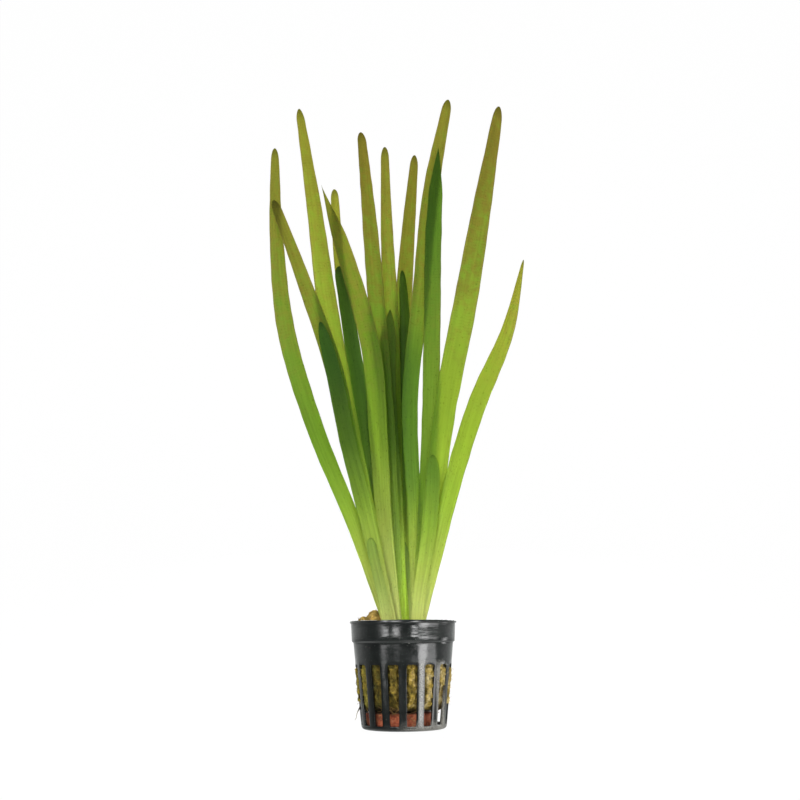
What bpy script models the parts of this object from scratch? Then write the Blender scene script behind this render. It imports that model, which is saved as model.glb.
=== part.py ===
# A vallisneria plant in a small black slotted pot, standing upright.
# Metres, +Z up, the front faces -Y. The origin is the middle of the pot's underside.
import math
from collections import namedtuple

import bpy
from mathutils import Matrix, Vector

MM = 0.001
GAP = 0.4

# Pot, in mm: a short band with a thin lip stands on a tapered body with open slots.
POT_HEIGHT = 48.0
LIP_RADIUS = 25.0
LIP_THICKNESS = 0.9
LIP_EDGE = 0.2
LIP_FILLET = 0.3
BAND_TOP_RADIUS = 24.4
BAND_FOOT_RADIUS = 24.0
BAND_FOOT = 38.7
BAND_STEP = 0.5
BAND_STEP_INSIDE = (0.3, 1.2)
BODY_TOP_RADIUS = 23.3
BODY_FOOT_RADIUS = 19.7
BODY_FOOT = 3.0
BASE_RADIUS = 18.0
BASE_CORNER_SHARE = 0.72
BASE_CORNER_HEIGHT = 0.55
WALL = 1.1
FLOOR = 1.3
FLOOR_CORNER = 0.5
RIBS = 16
RIB_WIDTH = 3.5
RIB_MOST_HALF_ANGLE = 7.2
SLOT_TOP = 28.6
SLOT_FOOT = 2.1
FIRST_RIB_ANGLE = -1.3
FLOOR_SLOT_RADII = (8.0, 14.8)

# Rockwool plug: it fills the pot from just above the clay weight to just under the lip. It bulges into each
# slot, full between the two inner angles and down to the wall at the outer ones. A side row is a height up
# the bulge as a share, mm above the bulge's top, and the share of the bulge there.
WOOL_TOP = 45.6
WOOL_TOP_UNEVEN = 0.35
WOOL_TOP_SHARES = (0.03, 0.45, 0.9)
WOOL_FOOT = 9.4
WOOL_FOOT_MIDDLE = 7.7
WOOL_FOOT_SHARES = (0.45, 0.85)
WOOL_BULGE = 1.9
WOOL_BULGE_TOP = 27.6
WOOL_BULGE_ANGLES = (3.9, 5.0)
WOOL_SIDE_ROWS = (
    (0.0, 0.0, 0.0),
    (0.15, 0.0, 0.7),
    (0.5, 0.0, 1.0),
    (0.93, 0.0, 1.0),
    (1.0, 0.0, 0.0),
    (1.0, 16.8, 0.0),
)
WOOL_NOTCHES = ((-18, 13, 4.5), (57, 14, 8.0))  # angle, reach in degrees and height of each
WOOL_POCKET_HALF = (12.4, 11.6)
WOOL_POCKET_MIDDLE = (0.5, 0.2)
WOOL_POCKET_CORNER = 3.0
WOOL_POCKET_RIM = 45.0
WOOL_POCKET_FLOOR = 34.0
WOOL_POCKET_NARROWS = 0.6
WOOL_LUMP_MIDDLE = (-12.8, -1.0)
WOOL_LUMP_RADIUS = 8.4
WOOL_LUMP_HEIGHT = 7.0

# Clay weight: a flat fired disc that lies on the pot's floor, a little to the left.
CLAY_RADIUS = 15.6
CLAY_THICKNESS = 5.4
CLAY_MIDDLE = (-2.0, 0.3)
CLAY_EDGE_ROUND = 0.6

# Crowns: the short thick stems that the leaves grow from, sunk in the rockwool.
CROWN_FOOT = 34.6
CROWN_TOP = 42.4
Crown = namedtuple("Crown", "name middle half_size")
CROWNS = (
    Crown("crown_left", (-4.2, -3.0), (4.4, 6.2)),
    Crown("crown_middle", (1.2, 6.2), (4.0, 3.2)),
    Crown("crown_right", (6.4, -4.6), (3.6, 4.2)),
)

# Leaves, in mm. Each blade rises from LEAF_FOOT to "top". "across" holds the middle line's places along X
# at six even steps of height. "depth" is its place along Y at the foot, then how far it leans and bows
# forward (-) or back (+) over the first 100 mm. "taper" is the length over which the blade narrows to
# "tip_share" of its width, and the last "tip_length" is rounded off: a "point" of 0.5 is a round end and
# 1 or more a pointed one. "turn" twists the end of the blade, in degrees, from a share of its height.
LEAF_FOOT = 42.8
LEAF_FOOT_WIDTH = 5.0
LEAF_FOOT_MOST_SHARE = 0.85
LEAF_GROW_SHARE = 0.55
LEAF_RINGS = 13
LEAF_TIP_RINGS = 4
LEAF_FOOT_THICKNESS = 0.85
LEAF_TIP_THICKNESS = 0.55
Leaf = namedtuple("Leaf", "name top across depth width taper tip_share tip_length point turn turn_from")
LEAVES = (
    Leaf("leaf_left_outermost", 284, (-5.5, -22, -41.5, -56, -61.5, -63), (-4.3, -2.5, -0.6),
         8.8, 110, 0.43, 7, 0.5, 15, 0.4),
    Leaf("leaf_left_outer", 255, (-5, -14.5, -24, -33, -47.5, -63), (-5.6, -3.0, -0.6),
         8.9, 100, 0.50, 6, 0.5, 15, 0.4),
    Leaf("leaf_left_short_dark", 191, (-4.5, -11.5, -18, -25.5, -31.5, -39), (-6.9, -3.5, -0.7),
         7.8, 35, 0.60, 12, 0.5, 8, 0.5),
    Leaf("leaf_left_tall", 307, (-5, -16, -27, -36, -43, -51), (-3.0, -2.2, -0.5),
         10.6, 130, 0.41, 7, 0.5, 30, 0.4),
    Leaf("leaf_left_pointed", 271, (-2.5, -8, -11, -14.5, -26, -40.5), (-1.7, 0.8, 0.2),
         9.5, 80, 0.75, 34, 1.5, 30, 0.65),
    Leaf("leaf_left_dark", 226, (-3.5, -9, -15, -19.5, -25, -31), (-0.4, 1.1, 0.2),
         8.4, 80, 0.66, 6, 0.5, -8, 0.5),
    Leaf("leaf_left_slim", 270, (-4, -10, -16.5, -23, -30.5, -34), (0.9, 1.4, 0.2),
         6.4, 70, 0.66, 5, 0.5, -20, 0.3),
    Leaf("leaf_left_inner", 306, (-2, -4.5, -7.5, -11.5, -15.5, -20), (2.2, 2.3, 0.4),
         8.7, 80, 0.55, 6, 0.5, 25, 0.4),
    Leaf("leaf_left_young", 86, (-6.5, -8, -9.5, -11.5, -13.5, -15), (-8.2, -4.0, 0.0),
         4.9, 8, 0.80, 4, 0.5, 0, 0.5),
    Leaf("leaf_middle_left", 300, (0, -2.5, -3.5, -4.5, -6.5, -7.5), (4.8, 3.3, 0.5),
         8.0, 100, 0.55, 6, 0.5, -25, 0.4),
    Leaf("leaf_middle_right", 298, (1.5, 0, -1, 1, 4.5, 9), (8.4, 4.2, 0.5),
         8.8, 90, 0.47, 7, 0.5, 20, 0.4),
    Leaf("leaf_middle_dark_left", 205, (-0.5, -2, -4, -6, -7, -5), (3.6, 3.0, 0.5),
         9.1, 35, 0.78, 20, 0.9, 6, 0.5),
    Leaf("leaf_middle_dark_right", 228, (2, 1, 0, 0, 2.5, 1.5), (6.0, 3.6, 0.5),
         6.2, 45, 0.50, 8, 0.5, 0, 0.5),
    Leaf("leaf_middle_dark_back", 198, (2.5, 2, 0.5, -1, 0.5, 2.5), (7.2, 3.9, 0.5),
         4.8, 15, 0.88, 3, 0.5, 0, 0.5),
    Leaf("leaf_middle_young", 85, (4, 4, 3.5, 3, 2.5, 1.5), (2.2, 1.0, 0.0),
         2.4, 12, 0.40, 5, 0.5, 0, 0.5),
    Leaf("leaf_right_inner_tall", 320, (6.5, 6, 4.5, 10.5, 16.5, 27), (-2.1, 0.0, 0.6),
         8.4, 60, 0.52, 6, 0.5, 14, 0.4),
    Leaf("leaf_right_inner_pointed", 290, (6, 10.5, 14, 16, 17.5, 21), (-3.4, -0.6, 0.5),
         8.4, 45, 0.78, 30, 1.0, 35, 0.7),
    Leaf("leaf_right_broad", 308, (6.5, 14, 21.5, 32.5, 42.5, 52.5), (-4.7, -1.8, -0.2),
         11.8, 100, 0.44, 8, 0.5, 28, 0.4),
    Leaf("leaf_right_outermost", 222, (6.5, 15.5, 25, 37, 52.5, 61.5), (-6.0, -3.2, -0.8),
         9.0, 65, 0.12, 4, 0.5, -30, 0.4),
    Leaf("leaf_right_short", 125, (6, 7.5, 10.5, 13, 14.5, 15), (-7.4, -4.0, 0.0),
         6.9, 15, 0.65, 6, 0.5, 0, 0.5),
)


# Faces that meet at more than this many degrees keep a hard edge.
POT_HARD_EDGE = 35
WOOL_HARD_EDGE = 50
TURNED_HARD_EDGE = 40
LEAF_HARD_EDGE = 60


def clear_scene():
    for obj in list(bpy.data.objects):
        bpy.data.objects.remove(obj, do_unlink=True)


def make_material(name, color, roughness):
    """One Principled material with a plain colour (linear RGB) and roughness."""
    material = bpy.data.materials.new(name)
    material.use_nodes = True
    shader = material.node_tree.nodes["Principled BSDF"]
    shader.inputs["Base Color"].default_value = (*color, 1.0)
    shader.inputs["Roughness"].default_value = roughness
    shader.inputs["Metallic"].default_value = 0.0
    return material


def add_object(name, points, faces, material, hard_edge):
    """Adds a named mesh object from points in mm and faces of point numbers."""
    mesh = bpy.data.meshes.new(name)
    mesh.from_pydata([Vector(point) * MM for point in points], [], faces)
    mesh.materials.append(material)
    mesh.shade_smooth()
    mesh.set_sharp_from_angle(angle=math.radians(hard_edge))
    mesh.validate()
    obj = bpy.data.objects.new(name, mesh)
    bpy.context.scene.collection.objects.link(obj)
    return obj


def blend(low, high, share):
    return low + (high - low) * share


def ease(share):
    """0 to 1 with a flat start and end."""
    share = min(1.0, max(0.0, share))
    return share * share * (3.0 - 2.0 * share)


def ring_faces(rings, count):
    """Quads between rings of "count" points, and a flat face over the first ring and over the last."""
    faces = []
    for ring in range(rings - 1):
        near = ring * count
        far = near + count
        for column in range(count):
            after = (column + 1) % count
            faces.append((near + column, near + after, far + after, far + column))
    faces.append(tuple(reversed(range(count))))
    faces.append(tuple((rings - 1) * count + column for column in range(count)))
    return faces


def on_circle(radius, degrees, height):
    """A point round the pot's axis. 0 degrees is the front, and +90 is the right side."""
    angle = math.radians(degrees)
    return (radius * math.sin(angle), -radius * math.cos(angle), height)


def body_radius(height):
    """Outer radius of the tapered body."""
    share = (height - BODY_FOOT) / (BAND_FOOT - BODY_FOOT)
    return blend(BODY_FOOT_RADIUS, BODY_TOP_RADIUS, share)


def inner_radius(height):
    return body_radius(height) - WALL


def rib_half_angle(radius):
    return min(RIB_MOST_HALF_ANGLE, math.degrees(RIB_WIDTH / 2 / radius))


def sector_angles(radius):
    """Four columns for each rib: its two edges, its middle and the middle of the slot after it."""
    angles = []
    step = 360.0 / RIBS
    for rib in range(RIBS):
        middle = FIRST_RIB_ANGLE + rib * step
        half = rib_half_angle(radius)
        angles += [middle - half, middle, middle + half, middle + step / 2]
    return angles


def pot_rows():
    """(radius, height) of the inner face from the floor up to the lip, and of the outer face back down."""
    corner_middle = blend(BASE_RADIUS, BODY_FOOT_RADIUS, BASE_CORNER_SHARE)
    inner = [
        (FLOOR_SLOT_RADII[0], FLOOR),
        (FLOOR_SLOT_RADII[1], FLOOR),
        (inner_radius(SLOT_FOOT) - FLOOR_CORNER, FLOOR),
        (inner_radius(SLOT_FOOT), SLOT_FOOT),
        (inner_radius(SLOT_TOP), SLOT_TOP),
        (BODY_TOP_RADIUS - WALL, BAND_FOOT + BAND_STEP_INSIDE[0]),
        (BAND_FOOT_RADIUS - WALL, BAND_FOOT + BAND_STEP_INSIDE[1]),
        (BAND_TOP_RADIUS - WALL, POT_HEIGHT),
    ]
    outer = [
        (LIP_RADIUS - LIP_EDGE, POT_HEIGHT),
        (LIP_RADIUS, POT_HEIGHT - LIP_THICKNESS / 2),
        (LIP_RADIUS - LIP_EDGE, POT_HEIGHT - LIP_THICKNESS),
        (BAND_TOP_RADIUS, POT_HEIGHT - LIP_THICKNESS - LIP_FILLET),
        (BAND_FOOT_RADIUS, BAND_FOOT + BAND_STEP),
        (BAND_FOOT_RADIUS - BAND_STEP, BAND_FOOT),
        (BODY_TOP_RADIUS, BAND_FOOT - BAND_STEP),
        (body_radius(SLOT_TOP), SLOT_TOP),
        (body_radius(SLOT_FOOT), SLOT_FOOT),
        (corner_middle, BASE_CORNER_HEIGHT),
        (BASE_RADIUS, 0.0),
        (FLOOR_SLOT_RADII[1], 0.0),
        (FLOOR_SLOT_RADII[0], 0.0),
    ]
    return inner, outer


def build_pot(material):
    inner, outer = pot_rows()
    rows = inner + outer
    columns = 4 * RIBS
    points = []
    for radius, height in rows:
        for degrees in sector_angles(radius):
            points.append(on_circle(radius, degrees, height))
    faces = []

    def add_face(*corners):
        faces.append(tuple(row * columns + column % columns for row, column in corners))

    inner_slot = rows.index((inner_radius(SLOT_FOOT), SLOT_FOOT))
    outer_slot = rows.index((body_radius(SLOT_TOP), SLOT_TOP))
    last = len(rows) - 1
    # Each open stretch pairs an inner row with the outer row across the wall from it.
    openings = ((inner_slot, outer_slot), (0, last - 1))
    open_rows = {row for pair in openings for row in pair}
    for row in range(last):
        for column in range(columns):
            in_slot = column % 4 in (2, 3)
            if in_slot and row in open_rows:
                continue
            below = row + 1
            add_face((below, column), (below, column + 1), (row, column + 1), (row, column))
    # Walls round each opening, between the inner and the outer face.
    for inner_row, outer_row in openings:
        for rib in range(RIBS):
            left = 4 * rib + 2
            right = 4 * rib + 4
            near = (inner_row, inner_row + 1)
            far = (outer_row + 1, outer_row)
            add_face((near[0], left), (near[1], left), (far[1], left), (far[0], left))
            add_face((near[1], right), (near[0], right), (far[0], right), (far[1], right))
            for column in (left, left + 1):
                after = column + 1
                add_face((near[0], after), (near[0], column), (far[0], column), (far[0], after))
                add_face((near[1], column), (near[1], after), (far[1], after), (far[1], column))
    add_face(*[(0, column) for column in range(columns)])
    add_face(*[(last, column) for column in reversed(range(columns))])
    return add_object("pot", points, faces, material, POT_HARD_EDGE)


def wool_lump(x, y):
    """Height that the loose lump at the left adds to the top of the rockwool."""
    middle_x, middle_y = WOOL_LUMP_MIDDLE
    near = math.hypot(x - middle_x, y - middle_y) / WOOL_LUMP_RADIUS
    return WOOL_LUMP_HEIGHT * ease(1.0 - near)


def wool_foot(degrees):
    """Height of the ragged lower edge: crumbs are missing at the front left and at the right."""
    ragged = 0.5 * math.sin(math.radians(3 * degrees + 40)) + 0.4 * math.sin(math.radians(7 * degrees))
    notches = 0.0
    for angle, reach, height in WOOL_NOTCHES:
        notches += height * ease(1.0 - abs(degrees - angle) / reach)
    return WOOL_FOOT + ragged + notches


def wool_side_angles():
    """Four columns for each slot: the bulge's two sides at the wall and its two shoulders."""
    shoulder, side = WOOL_BULGE_ANGLES
    angles = []
    step = 360.0 / RIBS
    for rib in range(RIBS):
        middle = FIRST_RIB_ANGLE + (rib + 0.5) * step
        angles += [(middle - side, 0.0), (middle - shoulder, 1.0)]
        angles += [(middle + shoulder, 1.0), (middle + side, 0.0)]
    return angles


def wool_pocket(degrees):
    """A point on the edge of the pocket for the crowns, an oval with full corners."""
    across = math.sin(math.radians(degrees))
    along = -math.cos(math.radians(degrees))
    power = WOOL_POCKET_CORNER
    reach = (abs(across) ** power + abs(along) ** power) ** (-1.0 / power)
    middle_x, middle_y = WOOL_POCKET_MIDDLE
    half_x, half_y = WOOL_POCKET_HALF
    return (middle_x + half_x * reach * across, middle_y + half_y * reach * along)


def build_rockwool(material):
    """The plug: rings from the middle of its underside out, up the wall, over the top and into the pocket."""
    columns = wool_side_angles()
    count = len(columns)
    points = []
    for radius_share in WOOL_FOOT_SHARES:
        for degrees, _ in columns:
            foot = blend(WOOL_FOOT_MIDDLE, wool_foot(degrees) - GAP, ease(radius_share))
            points.append(on_circle(radius_share * (inner_radius(WOOL_FOOT) - GAP), degrees, foot))
    for share, above, bulge_share in WOOL_SIDE_ROWS:
        for degrees, in_slot in columns:
            height = blend(wool_foot(degrees), WOOL_BULGE_TOP, share) + above
            radius = inner_radius(height) - GAP + WOOL_BULGE * bulge_share * in_slot
            points.append(on_circle(radius, degrees, height))
    pocket = [wool_pocket(degrees) for degrees, _ in columns]
    for share in WOOL_TOP_SHARES:
        for (degrees, _), (pocket_x, pocket_y) in zip(columns, pocket):
            wall_x, wall_y, _ = on_circle(inner_radius(WOOL_TOP) - GAP, degrees, 0)
            x = blend(wall_x, pocket_x, share)
            y = blend(wall_y, pocket_y, share)
            uneven = WOOL_TOP_UNEVEN * math.sin(math.radians(5 * degrees + 200 * share))
            points.append((x, y, WOOL_TOP + uneven + wool_lump(x, y)))
    for inset, height in ((0.0, WOOL_POCKET_RIM), (WOOL_POCKET_NARROWS, WOOL_POCKET_FLOOR)):
        for x, y in pocket:
            shrink = 1.0 - inset / WOOL_POCKET_HALF[1]
            middle_x, middle_y = WOOL_POCKET_MIDDLE
            points.append((middle_x + (x - middle_x) * shrink, middle_y + (y - middle_y) * shrink, height))
    return add_object("rockwool", points, ring_faces(len(points) // count, count), material, WOOL_HARD_EDGE)


def build_turned(name, profile, middle, stretch, segments, material):
    """A solid of revolution from (radius, height) points, bottom to top, stretched in Y and moved."""
    points = []
    for radius, height in profile:
        for segment in range(segments):
            x, y, z = on_circle(radius, 360.0 * segment / segments, height)
            points.append((middle[0] + x, middle[1] + y * stretch, z))
    return add_object(name, points, ring_faces(len(profile), segments), material, TURNED_HARD_EDGE)


def build_clay_weight(material):
    foot = FLOOR + GAP
    top = foot + CLAY_THICKNESS
    edge = CLAY_EDGE_ROUND
    profile = (
        (CLAY_RADIUS - edge, foot),
        (CLAY_RADIUS, foot + edge),
        (CLAY_RADIUS, top - edge),
        (CLAY_RADIUS - edge, top),
    )
    return build_turned("clay_weight", profile, CLAY_MIDDLE, 1.0, 40, material)


def build_crown(crown, material):
    """A squat stem, narrow at the foot and widest under the leaves."""
    half_x, half_y = crown.half_size
    height = CROWN_TOP - CROWN_FOOT
    shares = ((0.45, 0.0), (0.75, 0.18), (0.95, 0.5), (1.0, 0.8), (0.9, 1.0))
    profile = [(half_x * wide, CROWN_FOOT + height * up) for wide, up in shares]
    return build_turned(crown.name, profile, crown.middle, half_y / half_x, 20, material)


def through(places, share):
    """A smooth line through evenly spaced places (Catmull-Rom), read at a share of its length."""
    ends = (2 * places[0] - places[1], *places, 2 * places[-1] - places[-2])
    at = share * (len(places) - 1)
    step = min(len(places) - 2, max(0, math.floor(at)))
    before, start, end, after = ends[step : step + 4]
    part = at - step
    line = end - before
    bend = 2 * before - 5 * start + 4 * end - after
    turn = 3 * (start - end) + after - before
    return start + 0.5 * part * (line + part * (bend + part * turn))


def leaf_middle(leaf, share):
    """Middle line of a blade at a share of its height."""
    rise = (leaf.top - LEAF_FOOT) * share
    foot, lean, bow = leaf.depth
    depth = foot + lean * (rise / 100) + bow * (rise / 100) ** 2
    return Vector((through(leaf.across, share), depth, LEAF_FOOT + rise))


def leaf_width(leaf, share):
    """Full width: narrow at the foot, widest half way up, then tapered to a rounded or pointed end."""
    foot = min(LEAF_FOOT_WIDTH, LEAF_FOOT_MOST_SHARE * leaf.width)
    grown = 1.0 - max(0.0, 1.0 - share / LEAF_GROW_SHARE) ** 1.5
    left = (leaf.top - LEAF_FOOT) * (1.0 - share)
    taper = 1.0 - max(0.0, 1.0 - left / leaf.taper) ** 1.6
    cap = 1.0 - max(0.0, 1.0 - left / leaf.tip_length) ** 2
    return blend(foot, leaf.width, grown) * blend(leaf.tip_share, 1.0, taper) * cap**leaf.point


def leaf_shares(leaf):
    """Ring places from foot to tip, closer together over the rounded end."""
    end = 1.0 - leaf.tip_length / (leaf.top - LEAF_FOOT)
    shares = [end * ring / (LEAF_RINGS - 1) for ring in range(LEAF_RINGS)]
    for ring in range(1, LEAF_TIP_RINGS + 1):
        shares.append(blend(end, 1.0, math.sin(math.pi / 2 * ring / (LEAF_TIP_RINGS + 0.35))))
    return shares


def build_leaf(leaf, material):
    """A flat blade, cut level at the foot. Each ring has six points and is thickest in the middle."""
    section = ((-1.0, 0.0), (-0.45, -0.5), (0.45, -0.5), (1.0, 0.0), (0.45, 0.5), (-0.45, 0.5))
    points = []
    for share in leaf_shares(leaf):
        middle = leaf_middle(leaf, share)
        along = (leaf_middle(leaf, share + 0.01) - leaf_middle(leaf, share - 0.01)).normalized()
        if share == 0.0:
            along = Vector((0.0, 0.0, 1.0))
        turn = math.radians(leaf.turn) * ease((share - leaf.turn_from) / (1.0 - leaf.turn_from))
        side = Vector((1.0, 0.0, 0.0))
        side = (side - along * side.dot(along)).normalized()
        side = Matrix.Rotation(turn, 3, along) @ side
        face = side.cross(along)
        half = leaf_width(leaf, share) / 2
        thick = blend(LEAF_FOOT_THICKNESS, LEAF_TIP_THICKNESS, share)
        for over, out in section:
            points.append(middle + side * (over * half) + face * (-out * thick))
    faces = ring_faces(len(points) // len(section), len(section))
    return add_object(leaf.name, points, faces, material, LEAF_HARD_EDGE)


def main():
    clear_scene()
    plastic = make_material("black_plastic", (0.018, 0.019, 0.02), 0.35)
    wool = make_material("rockwool", (0.36, 0.25, 0.06), 0.95)
    clay = make_material("fired_clay", (0.42, 0.12, 0.05), 0.9)
    stem = make_material("crown", (0.62, 0.65, 0.32), 0.5)
    green = make_material("leaf", (0.16, 0.27, 0.03), 0.45)
    build_pot(plastic)
    build_rockwool(wool)
    build_clay_weight(clay)
    for crown in CROWNS:
        build_crown(crown, stem)
    for leaf in LEAVES:
        build_leaf(leaf, green)


main()
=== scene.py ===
# Vallisneria in a slotted pot, on a white sweep with softboxes all round
import math
import random
from functools import partial

import bpy
from mathutils import Matrix, Vector, noise


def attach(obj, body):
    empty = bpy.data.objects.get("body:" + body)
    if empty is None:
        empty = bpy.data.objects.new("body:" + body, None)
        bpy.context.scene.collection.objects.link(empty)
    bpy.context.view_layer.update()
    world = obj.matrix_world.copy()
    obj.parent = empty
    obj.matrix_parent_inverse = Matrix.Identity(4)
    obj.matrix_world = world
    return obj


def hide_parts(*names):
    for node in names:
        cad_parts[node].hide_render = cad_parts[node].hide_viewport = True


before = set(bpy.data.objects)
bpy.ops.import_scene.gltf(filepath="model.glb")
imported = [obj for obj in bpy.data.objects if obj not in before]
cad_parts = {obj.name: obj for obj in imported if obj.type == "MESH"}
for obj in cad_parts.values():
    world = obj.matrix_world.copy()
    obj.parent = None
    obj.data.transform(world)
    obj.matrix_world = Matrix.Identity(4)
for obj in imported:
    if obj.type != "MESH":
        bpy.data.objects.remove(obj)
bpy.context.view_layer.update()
mm = 0.001


def linear(hexText):  # sRGB hex to linear RGBA
    parts = [int(hexText[i:i + 2], 16) / 255 for i in (0, 2, 4)]
    return (*[c / 12.92 if c <= 0.04045 else ((c + 0.055) / 1.055) ** 2.4 for c in parts], 1.0)


# Adds a node: "Math ADD" is a Math node set to ADD. Values fill the inputs in use from the top down, and a
# dictionary at the end names others. A node stands for its first output in use, and hex text for a colour
def addNode(tree, kind, *values, **settings):
    name, _, operation = kind.partition(" ")
    families = ("ShaderNode", "GeometryNode", "FunctionNode", "Node")
    node = tree.nodes.new(next(family + name for family in families if hasattr(bpy.types, family + name)))
    if operation:
        node.operation = operation
    for key, value in settings.items():
        setattr(node, key, value)
    *plain, named = values if values and isinstance(values[-1], dict) else (*values, {})
    pairs = list(zip([socket for socket in node.inputs if socket.enabled], plain))
    pairs += [(node.inputs[key], value) for key, value in named.items()]
    for socket, value in pairs:
        if isinstance(value, bpy.types.Node):
            value = next(output for output in value.outputs if output.enabled)
        if isinstance(value, bpy.types.NodeSocket):
            tree.links.new(value, socket)
        else:
            isHex = socket.type == "RGBA" and isinstance(value, str)
            socket.default_value = linear(value) if isHex else value
    return node


def newMaterial(name):
    material = bpy.data.materials.new(name)
    material.use_nodes = True
    material.node_tree.nodes.clear()
    return material, partial(addNode, material.node_tree)


def setStops(ramp, *stops):  # place and colour of each stop
    elements = ramp.color_ramp.elements
    while len(elements) < len(stops):
        elements.new(0.5)
    for element, (place, colour) in zip(elements, stops):
        element.position = place
        element.color = linear(colour)


def newMesh(name, points, faces, edges=()):  # points in mm
    mesh = bpy.data.meshes.new(name)
    mesh.from_pydata([(x * mm, y * mm, z * mm) for x, y, z in points], edges, faces)
    mesh.validate()
    obj = bpy.data.objects.new(name, mesh)
    bpy.context.scene.collection.objects.link(obj)
    return obj


def newLine(name, points):
    return newMesh(name, points, [], [(i, i + 1) for i in range(len(points) - 1)])


def newTree(name, values):  # a Geometry Nodes tree with a named input for each value
    tree = bpy.data.node_groups.new(name, "GeometryNodeTree")
    for way in ("INPUT", "OUTPUT"):
        tree.interface.new_socket("Geometry", in_out=way, socket_type="NodeSocketGeometry")
    kinds = {int: "Int", float: "Float", tuple: "Vector"}
    for label, value in values.items():
        kind = "NodeSocket" + kinds.get(type(value), "Material")
        tree.interface.new_socket(label, in_out="INPUT", socket_type=kind).default_value = value
    add = partial(addNode, tree)
    return tree, add, add("GroupInput").outputs


def closeTree(add, geometry, material):
    whole = add("RealizeInstances", geometry)
    add("GroupOutput", {"Geometry": add("SetMaterial", whole, {"Material": material})})


def runTree(obj, tree, values):  # leaves the tree's result on the object as a plain mesh
    modifier = obj.modifiers.new(tree.name, "NODES")
    modifier.node_group = tree
    for item in tree.interface.items_tree:
        if item.item_type == "SOCKET" and item.in_out == "INPUT" and item.name in values:
            modifier[item.identifier] = values[item.name]
    bakeModifiers(obj)


def bakeModifiers(obj):
    graph = bpy.context.evaluated_depsgraph_get()
    mesh = bpy.data.meshes.new_from_object(obj.evaluated_get(graph), depsgraph=graph)
    obj.modifiers.clear()
    old = obj.data
    obj.data = mesh
    mesh.name = obj.name
    bpy.data.meshes.remove(old)


def finishPiece(obj, nodes):
    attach(obj, "root")
    if nodes:
        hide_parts(*nodes)


def ease(share):
    share = min(1.0, max(0.0, share))
    return share * share * (3.0 - 2.0 * share)


def blend(low, high, share):
    return low + (high - low) * share


def polar(radius, degrees):  # x and y, with 0 degrees at the front and 90 at the right
    angle = math.radians(degrees)
    return radius * math.sin(angle), -radius * math.cos(angle)


def through(places, share):  # a smooth line through evenly spaced places
    ends = (2 * places[0] - places[1], *places, 2 * places[-1] - places[-2])
    at = share * (len(places) - 1)
    step = min(len(places) - 2, max(0, math.floor(at)))
    before, start, end, after = ends[step:step + 4]
    part = at - step
    bend = 2 * before - 5 * start + 4 * end - after
    turn = 3 * (start - end) + after - before
    return start + 0.5 * part * (end - before + part * (bend + part * turn))


def ringFaces(rows, around):  # quads between rings of points, closed at both ends
    faces = []
    for first in range(0, (rows - 1) * around, around):
        for step in range(around):
            after = first + (step + 1) % around
            faces.append((first + step, after, after + around, first + step + around))
    faces.append(tuple(reversed(range(around))))
    faces.append(tuple(range((rows - 1) * around, rows * around)))
    return faces


# Camera, with its place in mm: at pot height, tipped up, as the plant was photographed
camera = {"place": (-0.4, -480, 39.3), "lens": 45.0, "sensor": 36.0, "pitch": 13.5, "roll": -0.57}
cameraData = bpy.data.cameras.new("camera")
cameraData.lens = camera["lens"]
cameraData.sensor_width = camera["sensor"]
cameraData.clip_start = 0.01
cameraObject = bpy.data.objects.new("camera", cameraData)
tipped = Matrix.Rotation(math.radians(90 + camera["pitch"]), 4, "X")
rolled = Matrix.Rotation(math.radians(camera["roll"]), 4, "Z")
cameraObject.matrix_world = Matrix.Translation(Vector(camera["place"]) * mm) @ tipped @ rolled
bpy.context.scene.collection.objects.link(cameraObject)
bpy.context.scene.camera = cameraObject
bpy.context.scene.view_settings.view_transform = "Standard"
print("camera placed")


# White paper sweep in mm, overexposed as in the photograph. Only the camera sees it, with a trace of shadow
sweep = {
    "halfWidth": 1600,
    "front": -1600,
    "back": 750,
    "radius": 350,
    "height": 1900,
    "cornerSteps": 16,
    "white": 1.01,
    "shadowShare": 0.03,
}
# What lights the plant is the room: bright behind, dim in front, so that the black pot stays dark
room = {"front": 0.12, "behind": 1.0, "below": 0.4, "floorGlow": 0.8, "right": 0.75, "tone": "f2f5f3"}
plainWhite = (1.0, 1.0, 1.0, 1.0)


def buildSweep():
    line = [(sweep["front"], 0.0)]
    for step in range(sweep["cornerSteps"] + 1):
        y, z = polar(sweep["radius"], 90 * step / sweep["cornerSteps"])
        line.append((sweep["back"] - sweep["radius"] + y, sweep["radius"] + z))
    line.append((sweep["back"], sweep["height"]))
    points = [(side * sweep["halfWidth"], y, z) for y, z in line for side in (-1, 1)]
    faces = [(2 * i, 2 * i + 1, 2 * i + 3, 2 * i + 2) for i in range(len(line) - 1)]
    obj = newMesh("white_sweep", points, faces)
    obj.data.shade_smooth()
    material, add = newMaterial("white seamless paper")
    glow = add("Emission", plainWhite, sweep["white"])
    paper = add("BsdfDiffuse", (0.9, 0.9, 0.9, 1.0))
    add("OutputMaterial", add("MixShader", sweep["shadowShare"], glow, paper))
    obj.data.materials.append(material)
    for ray in ("diffuse", "glossy", "transmission", "shadow"):
        setattr(obj, "visible_" + ray, False)


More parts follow.
